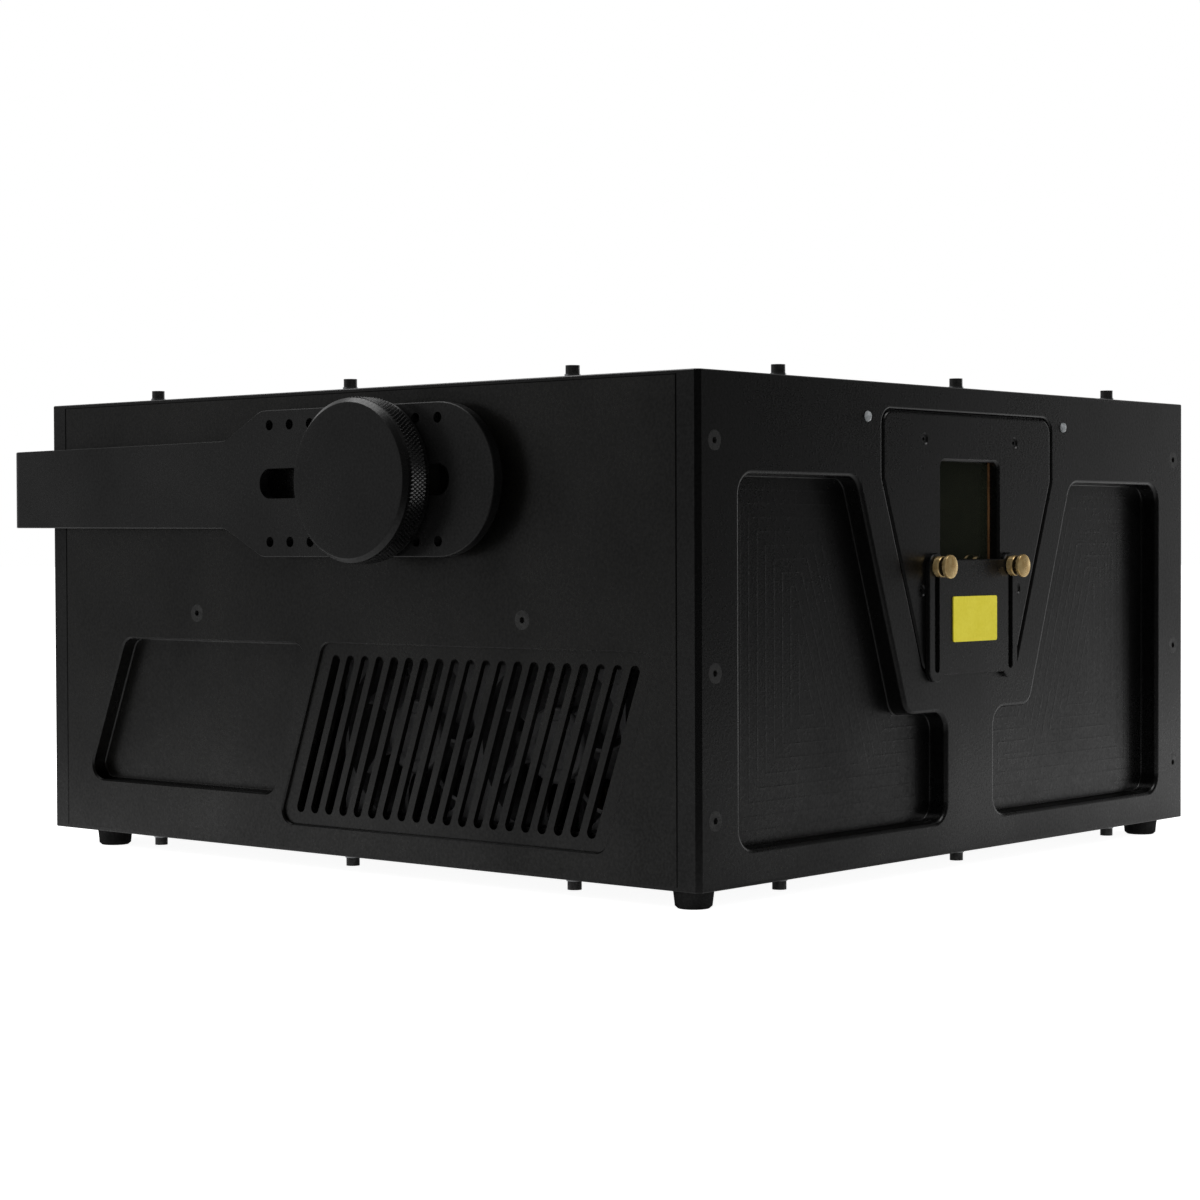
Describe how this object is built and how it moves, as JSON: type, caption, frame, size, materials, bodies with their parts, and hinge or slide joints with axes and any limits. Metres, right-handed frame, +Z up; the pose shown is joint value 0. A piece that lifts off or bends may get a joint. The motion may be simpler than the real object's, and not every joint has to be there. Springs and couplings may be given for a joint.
{
  "type": "laser show projector",
  "caption": "Black box-shaped laser show projector with a masked beam window, slanted side grilles and a tilting U-shaped hanging yoke held by knurled knobs.",
  "frame": {"origin": "on the floor, under the middle of the whole object with its yoke level", "axes": "+Z up, -Y out of the beam window, +X to the right seen from the front, along the tilt axis"},
  "size_m": [0.4276, 0.422, 0.2126],
  "materials": {
    "black_anodised": "bead-blasted black anodised",
    "black_steel": "black oxide",
    "bright_steel": "bright plated",
    "tinted_glass": "coated, olive brown",
    "gilt_brass": "polished",
    "clear_lens": "clear, frosted inside",
    "yellow_plate": "plain yellow",
    "black_rubber": "matt",
    "fan_plastic": "moulded black",
    "bare_aluminium": "milled",
    "dark_aluminium": "anodised dark",
    "mirror_glass": "first-surface coating",
    "circuit_board": "solder resist",
    "black_plastic": "moulded black",
    "chrome_lock": "plated",
    "friction_fibre": "pressed fibre"
  },
  "bodies": {
    "case": {"front_plate": "black_anodised", "side_panel_left": "black_anodised", "side_panel_right": "black_anodised", "rear_panel": "black_anodised", "top_cover": "black_anodised", "bottom_cover": "black_anodised", "aperture_plate": "black_anodised", "cover_screws": "black_steel", "front_screws": "black_steel", "rear_screws": "black_steel", "side_screws": "black_steel", "foot_screws": "black_steel", "aperture_screws": "black_steel", "fan_screws": "black_steel", "safety_lug": "black_steel", "cover_washers": "bright_steel", "pivot_studs": "bright_steel", "window_glass": "tinted_glass", "window_clips": "gilt_brass", "standoffs": "gilt_brass", "indicator_lenses": "clear_lens", "feet": "black_rubber", "window_gasket": "black_rubber", "fan_frames": "fan_plastic", "optical_base": "bare_aluminium", "heat_sink": "bare_aluminium", "mirror_mounts": "bare_aluminium", "scanner_block": "bare_aluminium", "power_supply": "bare_aluminium", "laser_red": "dark_aluminium", "laser_green": "dark_aluminium", "laser_blue": "dark_aluminium", "scanner_motors": "dark_aluminium", "shutter_motor": "dark_aluminium", "beam_mirrors": "mirror_glass", "scanner_driver": "circuit_board", "control_board": "circuit_board", "mains_inlet": "black_plastic", "switch_housing": "black_plastic", "data_sockets": "black_plastic", "key_lock": "chrome_lock"},
    "yoke_pivot": {"friction_discs": "friction_fibre"},
    "yoke": {"yoke": "black_anodised"},
    "knob_left": {"knob_left": "black_anodised"},
    "knob_right": {"knob_right": "black_anodised"},
    "mask": {"aperture_mask": "black_anodised", "mask_blank": "yellow_plate"},
    "thumbscrew_left": {"thumbscrew_left": "gilt_brass"},
    "thumbscrew_right": {"thumbscrew_right": "gilt_brass"},
    "fan_left_front": {"fan_rotor_left_front": "fan_plastic"},
    "fan_left_rear": {"fan_rotor_left_rear": "fan_plastic"},
    "fan_right_front": {"fan_rotor_right_front": "fan_plastic"},
    "fan_right_rear": {"fan_rotor_right_rear": "fan_plastic"},
    "scan_mirror_x": {"scan_mirror_x": "mirror_glass"},
    "scan_mirror_y": {"scan_mirror_y": "mirror_glass"},
    "shutter": {"shutter_flag": "black_steel"},
    "rocker": {"switch_rocker": "black_plastic"},
    "key": {"key": "bright_steel", "lock_plug": "chrome_lock"}
  },
  "joints": [
    {"name": "yoke_tilt", "type": "hinge", "parent": "case", "child": "yoke_pivot", "pos_m": [0, -0.03705, 0.1681], "axis": [1, 0, 0], "range_deg": [-8, 270]},
    {"name": "yoke_slide", "type": "slide", "parent": "yoke_pivot", "child": "yoke", "axis": [0, 1, 0], "range_m": [0, 0.034]},
    {"name": "knob_left_turn", "type": "hinge", "parent": "case", "child": "knob_left", "pos_m": [-0.1981, -0.03705, 0.1681], "axis": [-1, 0, 0], "range_deg": [0, 360]},
    {"name": "knob_right_turn", "type": "hinge", "parent": "case", "child": "knob_right", "pos_m": [0.1981, -0.03705, 0.1681], "axis": [1, 0, 0], "range_deg": [0, 360]},
    {"name": "mask_slide", "type": "slide", "parent": "case", "child": "mask", "axis": [0, 0, 1], "range_m": [0, 0.0433]},
    {"name": "thumbscrew_left_turn", "type": "hinge", "parent": "case", "child": "thumbscrew_left", "pos_m": [-0.02875, -0.20165, 0.1313], "axis": [0, -1, 0], "range_deg": [0, 360]},
    {"name": "thumbscrew_right_turn", "type": "hinge", "parent": "case", "child": "thumbscrew_right", "pos_m": [0.02875, -0.20165, 0.1313], "axis": [0, -1, 0], "range_deg": [0, 360]},
    {"name": "fan_left_front_spin", "type": "hinge", "parent": "case", "child": "fan_left_front", "pos_m": [-0.161, -0.1131, 0.05965], "axis": [-1, 0, 0], "continuous": true},
    {"name": "fan_left_rear_spin", "type": "hinge", "parent": "case", "child": "fan_left_rear", "pos_m": [-0.161, -0.0331, 0.05965], "axis": [-1, 0, 0], "continuous": true},
    {"name": "fan_right_front_spin", "type": "hinge", "parent": "case", "child": "fan_right_front", "pos_m": [0.161, -0.1131, 0.05965], "axis": [1, 0, 0], "continuous": true},
    {"name": "fan_right_rear_spin", "type": "hinge", "parent": "case", "child": "fan_right_rear", "pos_m": [0.161, -0.0331, 0.05965], "axis": [1, 0, 0], "continuous": true},
    {"name": "scan_x_swing", "type": "hinge", "parent": "case", "child": "scan_mirror_x", "pos_m": [0, -0.13365, 0.14495], "axis": [0, 1, 0], "range_deg": [-20, 20]},
    {"name": "scan_y_swing", "type": "hinge", "parent": "case", "child": "scan_mirror_y", "pos_m": [0, -0.13365, 0.16095], "axis": [1, 0, 0], "range_deg": [-20, 20]},
    {"name": "shutter_open", "type": "hinge", "parent": "case", "child": "shutter", "pos_m": [0.118, -0.07165, 0.12884], "axis": [0, 1, 0], "range_deg": [0, 40], "stiffness_Nm_per_rad": 0.001, "springref_deg": -20.05},
    {"name": "rocker_tilt", "type": "hinge", "parent": "case", "child": "rocker", "pos_m": [-0.08, 0.19335, 0.066], "axis": [1, 0, 0], "range_deg": [-20, 0]},
    {"name": "key_turn", "type": "hinge", "parent": "case", "child": "key", "pos_m": [-0.04, 0.19335, 0.066], "axis": [0, 1, 0], "range_deg": [0, 90]}
  ]
}
